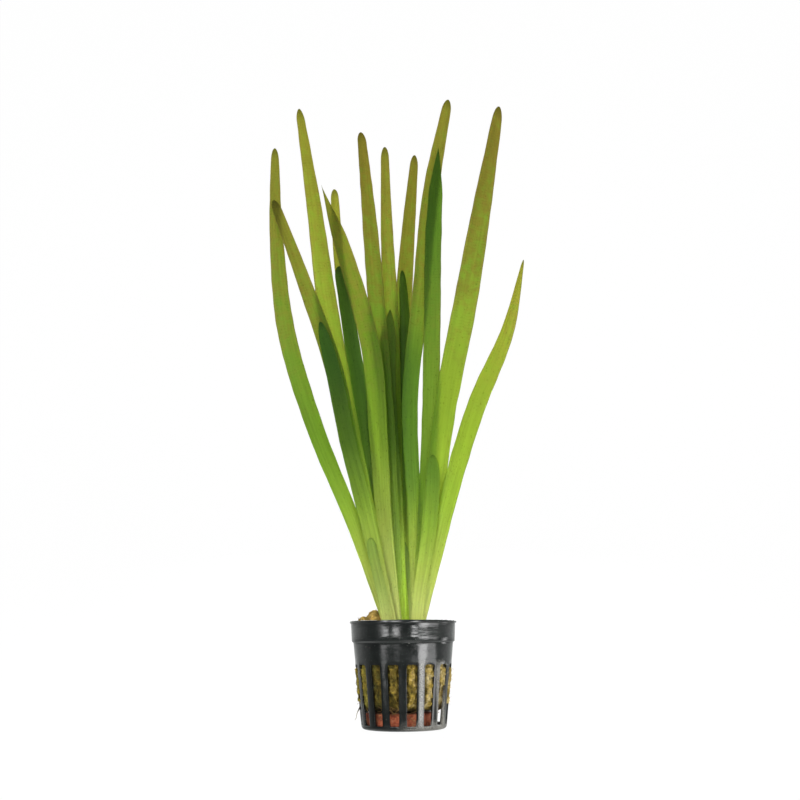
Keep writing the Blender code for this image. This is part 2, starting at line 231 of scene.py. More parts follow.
def buildRoom():
    world = bpy.data.worlds.new("pale room")
    world.use_nodes = True
    world.node_tree.nodes.clear()
    add = partial(addNode, world.node_tree)
    x, y, z = add("SeparateXYZ", add("TexCoord").outputs["Generated"]).outputs
    depth = add("MapRange", y, -0.25, 0.45, room["front"], room["behind"])
    right = add("MapRange", x, 0.45, 0.8, 0.0, room["right"])
    floor = add("MapRange", z, -0.3, 0.0, room["below"], 1.0)
    steep = add("MapRange", z, -0.35, -0.75, 0.0, room["floorGlow"])
    strength = add("Math MULTIPLY_ADD", add("Math MAXIMUM", depth, right), floor, steep)
    around = add("Background", room["tone"], strength)
    white = add("Background", plainWhite, sweep["white"])  # what the camera itself sees
    add("OutputWorld", add("MixShader", add("LightPath").outputs["Is Camera Ray"], around, white))
    bpy.context.scene.world = world


buildSweep()
buildRoom()

# Softboxes: azimuth in degrees, distance, height, face width and height in metres, power in watts
lights = {
    "softbox_right_high": (25, 0.8, 0.16, 0.16, 0.42, 3.4),  # tall bright streak down the pot
    "softbox_right_low": (46, 0.8, -0.15, 0.3, 0.2, 2.25),  # carries it on and lights the ribs there
    "softbox_right_dim": (69, 0.8, -0.165, 0.36, 0.2, 0.96),  # lets the streak fade
    "softbox_side": (108, 0.8, -0.24, 0.2, 0.2, 0.6),
    "softbox_under": (30, 0.45, -0.6, 0.4, 0.25, 1.2),  # thin light line on edges that face down
    "softbox_left_low": (-47, 0.8, -0.09, 0.15, 0.07, 0.18),
    "softbox_left": (-38, 0.8, 0.24, 0.15, 0.6, 3.4),  # fainter streaks on the band and the body
    "softbox_middle": (-15, 0.8, 0.2, 0.22, 0.54, 3.9),
    "softbox_foot": (2, 0.45, 0.36, 0.05, 0.05, 0.02),  # pale feet of the leaves
    "softbox_behind": (180, 0.6, 0.36, 0.25, 0.6, 5.0),  # a leaf behind another shows through it, dark
}
lightSpread = {"softbox_foot": 16}  # degrees
lightAim = {"softbox_foot": 0.07, "softbox_behind": 0.15}  # height that it points at
notMirrored = ("softbox_foot",)
for lightName, (azimuth, distance, height, width, tall, power) in lights.items():
    data = bpy.data.lights.new(lightName, "AREA")
    data.shape = "RECTANGLE"
    data.size = width
    data.size_y = tall
    data.energy = power
    data.spread = math.radians(lightSpread.get(lightName, 180))
    lamp = bpy.data.objects.new(lightName, data)
    lamp.location = (*polar(distance, azimuth), height)
    aim = Vector((0, 0, lightAim.get(lightName, 0.05))) - lamp.location
    lamp.rotation_mode = "QUATERNION"
    lamp.rotation_quaternion = aim.to_track_quat("-Z", "Y")
    lamp.visible_camera = False
    lamp.visible_glossy = lightName not in notMirrored
    bpy.context.scene.collection.objects.link(lamp)
print("sweep, room and lights placed")


# Pot: thin moulded shell. One rib's wedge is drawn and repeated round the axis
pot = {
    "ribs": 16,
    "firstRib": -1.3,
    "ribWidth": 3.5,
    "ribMostDegrees": 7.2,
    "wall": 1.0,
    "slotTop": 28.6,
    "slotFoot": 2.1,
    "slotCorner": 1.0,
    "slotFootCorner": 0.5,
    "slotRows": 22,
    "slotShares": (1.0, 0.7, 0.45, 0.25, 0.1),  # columns across half a slot, from its middle to the rib
    "lipRadius": 25.0,
    "lipUnder": 47.05,
    "bandTop": 24.4,
    "bandTopHeight": 46.6,
    "bandFoot": 24.0,
    "bandFootHeight": 38.7,
    "bodyTop": 23.3,
    "bodyFoot": 19.7,
    "bodyFootHeight": 3.0,
    "base": 18.0,
    "baseCorner": ((0.45, 0.2), (0.75, 0.6), (0.9, 1.1), (0.97, 1.6)),  # share out to the body, and height
    "floorSlots": (8.0, 14.8),
    "edgeRound": 0.22,
    "ribCrown": 0.05,
}


def bodyRadius(height):
    share = (height - pot["bodyFootHeight"]) / (pot["bandFootHeight"] - pot["bodyFootHeight"])
    return blend(pot["bodyFoot"], pot["bodyTop"], share)


def potProfile():  # radius, height and whether a slot is open above it, from the floor's middle to the lip
    slotIn, slotOut = pot["floorSlots"]
    rows = [(0.005, 0.0, False), (4.0, 0.0, False)]
    rows += [(blend(slotIn, slotOut, share), 0.0, True) for share in (0.0, 0.33, 0.67)]
    rows += [(slotOut, 0.0, False), (16.3, 0.0, False), (pot["base"], 0.0, False)]
    for share, height in pot["baseCorner"]:
        rows.append((blend(pot["base"], bodyRadius(pot["slotFoot"]), share), height, False))
    for step in range(pot["slotRows"] + 1):
        height = blend(pot["slotFoot"], pot["slotTop"], step / pot["slotRows"])
        rows.append((bodyRadius(height), height, step < pot["slotRows"]))
    for height in (30.2, 32.5, 35.0, 37.2):
        rows.append((bodyRadius(height), height, False))
    for out, height in ((-0.05, 38.1), (0.12, 38.45), (0.4, 38.62)):
        rows.append((pot["bodyTop"] + out, height, False))
    bandFoot, bandTop = pot["bandFootHeight"] + 0.3, pot["bandTopHeight"]
    rows += [(pot["bandFoot"] - 0.2, pot["bandFootHeight"], False), (pot["bandFoot"], bandFoot, False)]
    for share in (0.25, 0.5, 0.75, 1.0):
        rows.append((blend(pot["bandFoot"], pot["bandTop"], share), blend(bandFoot, bandTop, share), False))
    rows += [(pot["bandTop"] + 0.1, bandTop + 0.3, False), (pot["bandTop"] + 0.35, pot["lipUnder"], False)]
    return rows + [(pot["lipRadius"], pot["lipUnder"] + 0.03, False)]


def ribHalf(radius):  # degrees from the middle of a rib to its edge
    return min(pot["ribMostDegrees"], math.degrees(pot["ribWidth"] / 2 / radius))


def potColumns(radius):  # angles across one wedge: half a slot, the rib, half a slot
    half = ribHalf(radius)
    halfStep = 180.0 / pot["ribs"]
    left = [-half - (halfStep - half) * share for share in pot["slotShares"]]
    rib = [-half, -half * 0.5, 0.0, half * 0.5, half]
    return left + rib + [-degrees for degrees in reversed(left)]


def potPoint(radius, height, degrees):
    half = ribHalf(radius)
    crown = pot["ribCrown"] * max(0.0, 1.0 - (degrees / half) ** 2)
    crown *= ease((pot["slotTop"] - height) / 3) * ease((height - pot["slotFoot"]) / 2)
    fromEdge = math.radians(abs(degrees) - half) * radius  # mm from the rib's edge
    z = height
    for limit, corner, way in (("slotTop", "slotCorner", -1), ("slotFoot", "slotFootCorner", 1)):
        if abs(height - pot[limit]) < 1e-6 and 0 <= fromEdge < pot[corner]:
            z += way * (pot[corner] - math.sqrt(pot[corner] ** 2 - (pot[corner] - fromEdge) ** 2))
    return (*polar(radius + crown, degrees), z)


def wedgeTree(values):
    tree, add, given = newTree("repeat wedge round axis", values)
    places = add("MeshLine", given["Count"], {"Offset": (0, 0, 0)})
    step = add("Math DIVIDE", 2 * math.pi, given["Count"])
    angle = add("Math MULTIPLY_ADD", add("InputIndex"), step, given["First Angle"])
    turn = add("CombineXYZ", {"Z": angle})
    ring = add("InstanceOnPoints", places, {"Instance": given["Geometry"], "Rotation": turn})
    welded = add("MergeByDistance", add("RealizeInstances", ring), {"Distance": 0.03 * mm})
    closeTree(add, welded, given["Material"])
    return tree


def buildPot():
    rows = potProfile()
    points = [potPoint(*row[:2], degrees) for row in rows for degrees in potColumns(row[0])]
    halfSlot = len(pot["slotShares"])
    columns = len(points) // len(rows)
    faces = []
    for row in range(len(rows) - 1):
        for column in range(columns - 1):
            inSlot = column < halfSlot or column >= columns - 1 - halfSlot
            if not (inSlot and rows[row][2]):
                a = row * columns + column
                faces.append((a, a + 1, a + 1 + columns, a + columns))
    obj = newMesh("slotted_pot", points, faces)
    values = {"Count": pot["ribs"], "First Angle": math.radians(pot["firstRib"]), "Material": potPlastic()}
    runTree(obj, wedgeTree(values), values)

    for vertex in obj.data.vertices:  # the thin lip is a little wavy, and droops at the right
        if vertex.co.z / mm > 46.0:
            angle = math.atan2(vertex.co.x, -vertex.co.y)
            lift = 0.07 * math.sin(3 * angle + 0.6) + 0.05 * math.sin(7 * angle + 2.0) + 0.03
            droop = 0.16 * ease(1.0 - abs(math.degrees(angle) - 56) / 28) * (0.6 + 0.4 * math.sin(47 * angle))
            fromBand = math.hypot(vertex.co.x, vertex.co.y) / mm - pot["bandTop"]
            vertex.co.z += (lift - droop) * mm * ease(fromBand / (pot["lipRadius"] - pot["bandTop"]))
    shell = obj.modifiers.new("wall", "SOLIDIFY")
    shell.thickness = pot["wall"] * mm
    shell.offset = -1.0
    shell.use_even_offset = True
    rounding = obj.modifiers.new("edges", "BEVEL")
    rounding.width = pot["edgeRound"] * mm
    rounding.segments = 2
    rounding.limit_method = "ANGLE"
    rounding.angle_limit = math.radians(50)
    rounding.harden_normals = False
    bakeModifiers(obj)
    obj.data.shade_smooth()
    obj.data.set_sharp_from_angle(angle=math.radians(38))
    finishPiece(obj, ["pot"])


def potPlastic():
    # Moulded black polypropylene: glossy, rippled in bands round the pot, with white specks of dried water
    material, add = newMaterial("moulded black polypropylene")
    where = add("TexCoord").outputs["Object"]
    x, y, z = add("SeparateXYZ", where).outputs
    flow = add("TexNoise", where, 170.0, 2.0)
    bands = add("TexNoise", add("Mapping", where, {"Scale": (190.0, 190.0, 1400.0)}), 1.0, 3.0)
    grain = add("TexNoise", where, 2600.0, 2.0)
    specks = add("TexNoise", where, 2100.0, 3.0)
    soft = add("Bump", 0.4, 0.4 * mm, {"Height": flow})
    rippled = add("MapRange", z, 0.036, 0.04, 0.35, 0.9)
    ripple = add("Bump", rippled, 0.09 * mm, {"Height": bands, "Normal": soft})
    fine = add("Bump", 0.25, 0.03 * mm, {"Height": grain, "Normal": ripple})
    # Dried water: thick on one rib at the right of the front, thinner on the rib before it and along the foot
    ribs = []
    for first, last, share in ((0.0142, 0.0187, 1.0), (0.0062, 0.0118, 0.45)):
        enter = add("MapRange", x, first, first + 0.001, 0.0, share)
        ribs.append(add("Math MULTIPLY", enter, add("MapRange", x, last, last - 0.001)))
    foot = add("MapRange", z, 0.005, 0.002, 0.0, 0.7)
    foot = add("Math MULTIPLY", foot, add("MapRange", x, -0.004, 0.01))
    wet = add("Math MAXIMUM", add("Math ADD", *ribs), foot)
    wet = add("Math MULTIPLY", add("MapRange", z, 0.031, 0.027), wet)
    wet = add("Math MULTIPLY", wet, add("MapRange", y, 0.0, -0.004))
    film = add("Math MULTIPLY", add("MapRange", specks, 0.38, 0.62, 0.1, 0.33), wet)
    crust = add("Math MAXIMUM", film, add("MapRange", specks, 0.72, 0.78, 0.0, 0.25))
    black = add("Mix", flow, "0c0e0d", "171a19", data_type="RGBA")
    tint = add("Mix", crust, black, "c4c0b4", data_type="RGBA")
    rough = add("Math ADD", add("MapRange", flow, 0.3, 0.7, 0.12, 0.23), crust)
    skin = {"Base Color": tint, "Roughness": rough, "Normal": fine, "IOR": 1.49}
    add("OutputMaterial", add("BsdfPrincipled", skin))
    return material


buildPot()
print("pot built")


# Rockwool: loose mineral fibre pressed into the pot. It bulges into the slots and rises in a lump at the left
wool = {
    "top": 45.4,
    "foot": 9.4,
    "footMiddle": 7.35,
    "footRises": ((-18, 13, 4.5), (57, 14, 8.0), (-118, 38, -3.0)),  # azimuth, reach and height of each
    "clear": 0.1,  # gap beside the ribs and at the wall
    "play": 0.1,  # further gap at the wall
    # one slot after another, from the one right of the middle round by the right and the back
    "bulge": (1.9, 2.0, 1.8, 2.0, 1.4, 1.6, 1.3, 1.5, 1.4, 1.1, 1.5, 1.3, 2.1, 1.3, 0.6, 1.5),
    "lumps": ((-12.6, -0.5, 8.5, 8.3), (-17.0, -2.0, 10.0, 4.6)),  # middle, reach and height of each
    "dipRadius": 14.0,
    "dip": 5.0,
    "columns": 320,
    "sideRows": 84,
    "topRows": 34,
    "lumpSize": 2.6,
    "lumpDepth": 0.75,
    "crumbSize": 0.75,
    "crumbDepth": 0.5,
    "fibres": 900000.0,
    "fibreLength": 2.6,
    "fibreRadius": 0.045,
}


def slotShare(degrees, radius):  # 0 behind a rib, 1 in the middle of a slot, and the slot's number
    step = 360.0 / pot["ribs"]
    fromRib = (degrees - pot["firstRib"]) / step
    number = math.floor(fromRib)
    half = math.degrees((pot["ribWidth"] / 2 + wool["clear"]) / radius) / step
    part = min(fromRib - number, 1.0 - (fromRib - number))
    return ease((part - half) * step / 1.1), number % len(wool["bulge"])


def woolRadius(height):  # where the plug meets the inside of the pot's wall
    return bodyRadius(min(height, pot["bandFootHeight"])) - pot["wall"] - wool["play"] - wool["clear"]


def woolFoot(degrees):
    degrees = (degrees + 180.0) % 360.0 - 180.0
    ragged = 0.5 * math.sin(math.radians(3 * degrees + 40)) + 0.4 * math.sin(math.radians(7 * degrees))
    rises = [high * ease(1.0 - abs(degrees - middle) / reach) for middle, reach, high in wool["footRises"]]
    return wool["foot"] + ragged + sum(rises)


def woolTop(x, y):
    lumps = []
    for midX, midY, reach, high in wool["lumps"]:
        lumps.append(high * ease(1.3 - 1.3 * math.hypot(x - midX, y - midY) / reach))
    dip = wool["dip"] * ease(1.0 - math.hypot(x, y) / wool["dipRadius"])
    uneven = 0.9 * noise.noise(Vector((x * 0.16, y * 0.16, 3.0)))
    uneven += 0.5 * noise.noise(Vector((x * 0.4, y * 0.4, 9.0)))
    return wool["top"] + uneven + max(lumps) - dip


def woolRings():  # points ring by ring, from the middle of the underside round to the middle of the top
    points = []
    shown = []  # how much of each point is bare, and so carries fibres
    turns = [360.0 * column / wool["columns"] for column in range(wool["columns"])]
    for share in (0.02, 0.25, 0.5, 0.7, 0.85, 0.95):
        for degrees in turns:
            foot = woolFoot(degrees)
            height = blend(wool["footMiddle"], foot, max(0.0, (share - 0.7) / 0.3) ** 1.5)
            points.append((*polar(woolRadius(foot) * share, degrees), height))
            shown.append(0.0)
    for row in range(wool["sideRows"] + 1):
        for degrees in turns:
            foot = woolFoot(degrees)
            height = blend(foot, wool["top"] - 0.5, row / wool["sideRows"])
            radius = woolRadius(height)
            part, number = slotShare(degrees, radius)
            inSlot = part * ease((height - foot) / 3.0) * ease((pot["slotTop"] - 0.3 - height) / 1.6)
            points.append((*polar(radius + wool["bulge"][number] * inSlot, degrees), height))
            shown.append(part if height < pot["slotTop"] else 0.0)
    for row in range(1, wool["topRows"] + 1):
        radius = (woolRadius(pot["bandFootHeight"]) + 0.4) * (1.0 - row / (wool["topRows"] + 0.3))
        for degrees in turns:
            x, y = polar(radius, degrees)
            points.append((x, y, blend(wool["top"] - 0.5, woolTop(x, y), ease(row / 2.0))))
            shown.append(0.6)
    return points, shown


def crumbleTree(values):
    tree, add, given = newTree("crumble and fibres", values)
    seed = {"Seed": given["Seed"]}
    pits = []
    depths = []
    for size, depth, detail in (("Lump Size", "Lump Depth", 2.0), ("Crumb Size", "Crumb Depth", 3.0)):
        field = add("TexNoise", add("InputPosition"), add("Math DIVIDE", 1.0, given[size]), detail, 0.6)
        pits.append(add("MapRange", field, 0.35, 0.65, 1.0, 0.0))
        depths.append(add("Math MULTIPLY", pits[-1], given[depth]))
    inward = add("Math MULTIPLY", add("Math ADD", *depths), -1.0)
    push = add("VectorMath SCALE", add("InputNormal"), inward)
    mark = {"Name": "pitDepth", "Value": add("Math ADD", *pits)}
    marked = add("StoreNamedAttribute", given["Geometry"], mark)
    body = add("SetPosition", marked, {"Offset": push})
    mask = add("InputNamedAttribute", "shown")
    density = add("Math MULTIPLY", mask, given["Fibre Density"])
    spread = add("DistributePointsOnFaces", body, {"Density": density, **seed}).outputs
    # one fibre: a short arc swept with a three-sided section
    arc = add("CurveArc", {"Resolution": 6, "Radius": given["Fibre Length"], "Sweep Angle": 1.1})
    section = add("CurvePrimitiveCircle", 3, given["Fibre Radius"])
    strand = add("CurveToMesh", arc, section, {"Fill Caps": True})
    origin = add("VectorMath SCALE", (-1.0, -0.3, 0.0), given["Fibre Length"])
    size = add("RandomValue", 0.25, 1.0, seed)
    tip = add("RandomValue", (-0.5, -0.5, -3.2), (0.5, 0.5, 3.2), seed, data_type="FLOAT_VECTOR")
    lay = add("RotateRotation", spread["Rotation"], tip, rotation_space="LOCAL")
    fibres = add("InstanceOnPoints", spread["Points"], {
        "Instance": add("Transform", strand, origin), "Rotation": lay, "Scale": size})
    both = add("JoinGeometry", body)
    tree.links.new(fibres.outputs[0], both.inputs[0])
    closeTree(add, both, given["Material"])
    return tree


def buildRockwool():
    points, shown = woolRings()
    obj = newMesh("rockwool_plug", points, ringFaces(len(points) // wool["columns"], wool["columns"]))
    obj.data.attributes.new("shown", "FLOAT", "POINT").data.foreach_set("value", shown)
    values = {
        "Lump Size": wool["lumpSize"] * mm, "Lump Depth": wool["lumpDepth"] * mm,
        "Crumb Size": wool["crumbSize"] * mm, "Crumb Depth": wool["crumbDepth"] * mm,
        "Fibre Density": wool["fibres"], "Fibre Length": wool["fibreLength"] * mm,
        "Fibre Radius": wool["fibreRadius"] * mm, "Seed": 4, "Material": mineralFibre()}
    runTree(obj, crumbleTree(values), values)
    obj.data.shade_smooth()
    finishPiece(obj, ["rockwool"])


def mineralFibre():
    # Spun rock fibre with a yellow binder: dull and crumbly, olive at the left, painted shade in its pits
    material, add = newMaterial("resin bound rockwool")
    where = add("TexCoord").outputs["Object"]
    x, _, z = add("SeparateXYZ", where).outputs
    pit = add("Attribute", attribute_name="pitDepth").outputs["Fac"]
    patch = add("TexNoise", where, 330.0, 4.0)
    fluff = add("TexNoise", where, 2400.0, 3.0)
    # olive and darker at the left, paler at the right: partly its own colour, partly painted light falling
    # from the right
    tint = add("ValToRGB", add("Math ADD", patch, add("MapRange", x, -0.014, 0.015, -0.2, 0.19)))
    setStops(tint, (0.22, "5a5422"), (0.4, "665820"), (0.55, "8e7830"), (0.68, "a8945a"), (0.8, "b8a878"))
    golden = add("Mix", add("MapRange", z, 0.0455, 0.0485, 0.0, 0.85), tint, "b0924a", data_type="RGBA")
    # painted shade: darker the deeper the pit
    shade = add("MapRange", pit, 0.3, 1.6, 1.1, 0.3)
    shade = add("Math MULTIPLY", shade, add("MapRange", fluff, 0.3, 0.7, 0.55, 1.18))
    # Painted light and shade: lighter at the sides and to the right of the middle, where the light falls, and
    # darker in the slots left of the middle; above the rim the lump is darker at its outer end. Painted
    # shade: dark at the foot, over the clay
    outer = add("MapRange", z, 0.04, 0.045, 2.2, 0.65)
    inner = add("MapRange", z, 0.04, 0.045, 0.75, 1.05)
    for ranges in ((x, -0.017, -0.0139, outer, inner), (x, -0.001, 0.005, 1.0, 1.33),
                   (x, 0.0134, 0.018, 1.0, 1.15), (z, 0.0085, 0.0115, 0.22, 1.0)):
        shade = add("Math MULTIPLY", shade, add("MapRange", *ranges))
    add("OutputMaterial", add("BsdfPrincipled", {
        "Base Color": add("VectorMath SCALE", golden, shade), "Roughness": 0.95, "Specular IOR Level": 0.15,
        "Normal": add("Bump", 0.8, 0.25 * mm, {"Height": fluff})}))
    return material


buildRockwool()
print("rockwool built")


# Clay weight: a pressed and fired disc under the plug
clay = {
    "radius": 15.6,
    "foot": 1.7,
    "top": 7.1,
    "middle": (-2.0, 0.3),
    "edge": 0.7,  # rounding
    "grain": 0.16,
    "around": 160,
}


def clayProfile():  # out along the underside, up the side between rounded edges, and in along the top
    radius, foot, top, edge = [clay[key] for key in ("radius", "foot", "top", "edge")]
    turns = [math.radians(90 * step / 8) for step in range(9)]
    profile = [(radius * share, foot) for share in (0.02, 0.3, 0.6, 0.85)]
    profile += [(radius - edge * (1 - math.sin(turn)), foot + edge * (1 - math.cos(turn))) for turn in turns]
    profile += [(radius, blend(foot + edge, top - edge, share)) for share in (0.2, 0.4, 0.6, 0.8)]
    profile += [(radius - edge * (1 - math.cos(turn)), top - edge * (1 - math.sin(turn))) for turn in turns]
    return profile + [(radius * share, top) for share in (0.85, 0.65, 0.45, 0.25, 0.02)]


def buildClayWeight():
    profile = clayProfile()
    points = []
    for radius, height in profile:
        for step in range(clay["around"]):
            out = Vector((*polar(1.0, 360.0 * step / clay["around"]), 0.0))
            spot = Vector((*clay["middle"], height)) + radius * out
            rough = clay["grain"] * (noise.noise(spot * 0.9) + 0.5 * noise.noise(spot * 2.3) - 1.0)
            points.append(spot + out * rough if clay["foot"] < height < clay["top"] else spot)
    obj = newMesh("fired_clay_weight", points, ringFaces(len(profile), clay["around"]))
    obj.data.materials.append(firedClay())
    obj.data.shade_smooth()
    finishPiece(obj, ["clay_weight"])


def firedClay():
    # Unglazed terracotta: matt and porous, sandy grains, pale wear and damp darker patches
    material, add = newMaterial("unglazed terracotta")
    where = add("TexCoord").outputs["Object"]
    grain = add("TexNoise", where, 1900.0, 3.0)
    tint = add("ValToRGB", add("TexNoise", where, 420.0, 4.0))
    setStops(tint, (0.3, "66321c"), (0.45, "96472a"), (0.58, "aa5d3c"), (0.72, "c08864"))
    colour = add("VectorMath SCALE", tint, add("MapRange", grain, 0.3, 0.7, 0.52, 1.08))
    bump = add("Bump", 0.6, 0.2 * mm, {"Height": grain})
    add("OutputMaterial", add("BsdfPrincipled", {"Base Color": colour, "Roughness": 0.9, "Normal": bump}))
    return material


buildClayWeight()
print("clay weight built")


# Crowns: short stems that the leaves grow from, wrapped in the sheaths of older leaves
crowns = {
    "foot": 34.6,
    "top": 42.4,
    "dome": 0.7,
    "stems": {  # middle and half sizes in mm
        "crown_left": ((-4.2, -3.0), (4.4, 6.2)),
        "crown_middle": ((1.2, 6.2), (4.0, 3.2)),
        "crown_right": ((6.4, -4.6), (3.6, 4.2)),
    },
    # share of the half sizes, and share of the height
    "profile": ((0.02, 0.0), (0.25, 0.0), (0.45, 0.0), (0.62, 0.08), (0.75, 0.18), (0.87, 0.33), (0.95, 0.5),
                (0.99, 0.65), (1.0, 0.8), (0.97, 0.92), (0.9, 1.0)),
    "sheaths": 6,
    "sheathStep": 0.09,
    "around": 96,
}


def buildCrowns():
    tissue = crownTissue()
    rows = [(share, blend(crowns["foot"], crowns["top"], up), 1.0) for share, up in crowns["profile"]]
    for share in (0.8, 0.65, 0.45, 0.25, 0.02):  # domed over between the leaves
        rows.append((share, crowns["top"] + crowns["dome"] * math.sqrt(1.0 - share), 0.4))
    for number, (name, (middle, half)) in enumerate(crowns["stems"].items()):
        points = []
        for share, height, depth in rows:
            for step in range(crowns["around"]):
                turn = step / crowns["around"]
                # each sheath laps over the next
                lap = (turn * crowns["sheaths"] + 0.05 * height + 0.3 * number) % 1.0
                wide = share * (1.0 - depth * crowns["sheathStep"] * ease(1.0 - lap) * min(1.0, 8 * lap))
                x, y = polar(wide, 360.0 * turn)
                points.append((middle[0] + half[0] * x, middle[1] + half[1] * y, height))
        obj = newMesh("stem" + name[5:], points, ringFaces(len(rows), crowns["around"]))
        obj.data.materials.append(tissue)
        obj.data.shade_smooth()
        finishPiece(obj, [name])


def crownTissue():
    # Blanched stem: smooth, moist and nearly white at the foot, brown where the outer sheaths have died
    material, add = newMaterial("blanched stem tissue")
    where = add("TexCoord").outputs["Object"]
    fibre = add("TexNoise", add("Mapping", where, {"Scale": (900.0, 900.0, 120.0)}), 1.0, 3.0)
    tint = add("ValToRGB", add("MapRange", add("SeparateXYZ", where).outputs["Z"], 0.035, 0.043))
    setStops(tint, (0.0, "d8d4ac"), (0.5, "c8ce88"), (1.0, "a4b658"))
    dead = add("MapRange", add("TexNoise", where, 380.0, 3.0), 0.52, 0.66, 0.0, 0.8)
    add("OutputMaterial", add("BsdfPrincipled", {
        "Base Color": add("Mix", dead, tint, "7a5a30", data_type="RGBA"), "Roughness": 0.5, "IOR": 1.36,
        "Normal": add("Bump", 0.4, 0.15 * mm, {"Height": fibre})}))
    return material


buildCrowns()
print("crowns built")


# Loose strands: fibres and fine roots that hang in the slots under the plug, and two roots at the far left
strands = {
    # slot number, how many, highest and lowest place in mm
    "slots": ((12, 6, 15.0, 8.0), (13, 7, 12.0, 7.6), (14, 9, 13.5, 7.4), (15, 7, 12.0, 7.6),
              (0, 3, 11.0, 8.0), (1, 4, 15.0, 8.5), (2, 14, 18.0, 5.0), (3, 8, 17.0, 5.0),
              (6, 5, 12.0, 7.5), (9, 5, 12.0, 7.5)),
    "radius": 0.09,
    "points": 9,
    "sag": 1.6,
    "seed": 21,
}
roots = {  # radius, dark and pale tone, and places along it
    "root_left": (0.55, "15130c", "2e2818", (
        (-18.9, -2.2, 11.8), (-19.7, -2.5, 10.7), (-20.3, -2.9, 9.2), (-21.2, -3.0, 7.6))),
    "side_root_left": (0.2, "6a5f42", "9a8e68", (
        (-20.8, -3.0, 8.4), (-21.5, -3.1, 6.7), (-21.7, -3.2, 5.4), (-22.3, -3.2, 4.0))),
}


def strandTree(values):
    tree, add, given = newTree("strands", values)
    section = add("CurvePrimitiveCircle", 6, given["Radius"])
    thick = add("MapRange", add("SplineParameter"), {"To Min": 1.0, "To Max": 0.35})
    tube = add("CurveToMesh", add("MeshToCurve", given["Geometry"]), section, thick, True)
    closeTree(add, add("SetShadeSmooth", tube), given["Material"])
    return tree


def buildStrands():
    chance = random.Random(strands["seed"])
    points, edges = [], []
    for slot, count, high, low in strands["slots"]:
        middle = pot["firstRib"] + (slot + 0.5) * 360.0 / pot["ribs"]
        for _ in range(count):
            start = blend(low, high, chance.random())
            end = start + chance.uniform(-5.0, 2.0)
            sag = strands["sag"] * chance.uniform(0.2, 1.0)
            side = chance.choice((-1, 1))
            depth = chance.uniform(0.9, 2.2)
            for step in range(strands["points"]):
                share = step / (strands["points"] - 1)
                height = max(3.0, blend(start, end, share) - sag * 4 * share * (1.0 - share))
                degrees = middle + side * blend(-7.5, 7.5, share) + 0.8 * math.sin(6 * share + start)
                out = bodyRadius(height) - pot["wall"] - depth + 0.5 * math.sin(5 * share + end)
                if step:
                    edges.append((len(points) - 1, len(points)))
                points.append((*polar(out, degrees), height))
    values = {"Radius": strands["radius"] * mm, "Material": rootSkin("fine dead root", "5a4322", "8a6c3c")}
    tree = strandTree(values)
    obj = newMesh("loose_strands", points, [], edges)
    runTree(obj, tree, values)
    finishPiece(obj, [])
    for name, (radius, darkTone, paleTone, line) in roots.items():
        root = newLine(name, [[through(places, step / 20) for places in zip(*line)] for step in range(21)])
        runTree(root, tree, {"Radius": radius * mm, "Material": rootSkin("old root", darkTone, paleTone)})
        finishPiece(root, [])


def rootSkin(name, darkTone, paleTone):
    # Dead root: dull and brown, paler where the skin has gone
    material, add = newMaterial(name)
    tint = add("ValToRGB", add("TexNoise", add("TexCoord").outputs["Object"], 500.0, 3.0))
    setStops(tint, (0.4, darkTone), (0.65, paleTone))
    add("OutputMaterial", add("BsdfPrincipled", {"Base Color": tint, "Roughness": 0.8}))
    return material


buildStrands()
print("strands and roots built")
